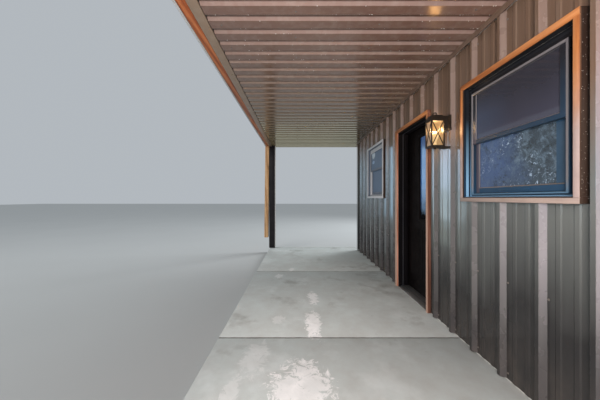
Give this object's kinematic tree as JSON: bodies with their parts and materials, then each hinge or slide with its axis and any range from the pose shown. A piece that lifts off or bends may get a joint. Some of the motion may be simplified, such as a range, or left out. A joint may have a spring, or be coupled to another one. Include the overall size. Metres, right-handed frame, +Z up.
{
  "type": "ribbed metal cabin with porch",
  "caption": "Small cabin clad in ribbed sheet metal, with a full-length covered porch, a glazed black door that opens inwards, sash windows and a wall lantern.",
  "frame": {"origin": "middle of the footprint at ground level, under the middle of the roof", "axes": "+X along the cabin, to the right seen from the porch side; +Y from the porch side towards the rear wall; +Z up"},
  "size_m": [7.036, 4.884, 3.3416],
  "materials": {
    "concrete": "matte",
    "floor_planks": "satin",
    "inner_wall": "matte",
    "ribbed_wall": "gloss",
    "ribbed_soffit": "gloss",
    "black_steel": "satin",
    "black_paint": "satin",
    "stained_timber": "satin",
    "post_timber": "satin",
    "framing_timber": "matte",
    "pale_roof": "satin",
    "pale_trim": "satin",
    "threshold_metal": "brushed",
    "door_black": "gloss",
    "window_glass": "gloss",
    "dark_bronze": "satin",
    "white_paint": "satin",
    "dark_frame": "satin",
    "dark_sash": "satin",
    "lantern_glass": "gloss",
    "lit_bulb": "gloss"
  },
  "bodies": {
    "cabin": {"porch_slab": "concrete", "cabin_slab": "concrete", "floor_finish": "floor_planks", "front_wall_right": "inner_wall", "front_wall_left": "inner_wall", "front_wall_over_door": "inner_wall", "rear_wall": "inner_wall", "left_end_wall": "inner_wall", "right_end_wall": "inner_wall", "ceiling": "inner_wall", "front_cladding": "ribbed_wall", "rear_cladding": "ribbed_wall", "left_end_cladding": "ribbed_wall", "right_end_cladding": "ribbed_wall", "corner_trims": "ribbed_wall", "wall_head_trim": "ribbed_wall", "porch_soffit": "ribbed_soffit", "cabin_soffits": "ribbed_soffit", "soffit_trim": "ribbed_soffit", "porch_beam": "black_steel", "porch_edge_timber": "stained_timber", "rear_fascia": "stained_timber", "porch_posts": "black_paint", "post_boards": "post_timber", "post_edge_strips": "pale_trim", "roof_trusses": "framing_timber", "roof_sheet_front": "pale_roof", "roof_sheet_rear": "pale_roof", "ridge_cap": "pale_roof", "gable_cladding": "ribbed_wall", "roof_edge_trim": "pale_trim", "door_frame": "black_paint", "door_trim": "stained_timber", "door_threshold": "threshold_metal", "window_trim_wood": "stained_timber", "window_boxes": "dark_bronze", "window_trim_white": "white_paint", "window_frames_dark": "dark_frame", "window_frame_white": "white_paint", "window_sashes_dark": "dark_sash", "window_sashes_white": "white_paint", "window_glass": "window_glass", "lantern_frame": "dark_bronze", "lantern_glass": "lantern_glass", "lantern_bulb": "lit_bulb"},
    "door": {"door_leaf": "door_black", "door_glass": "window_glass", "door_handle": "dark_bronze", "door_hinges": "threshold_metal"}
  },
  "joints": [
    {"name": "door_hinge", "type": "hinge", "parent": "cabin", "child": "door", "pos_m": [-0.455, -0.062, 1.163], "axis": [0, 0, 1], "range_deg": [0, 100]}
  ]
}
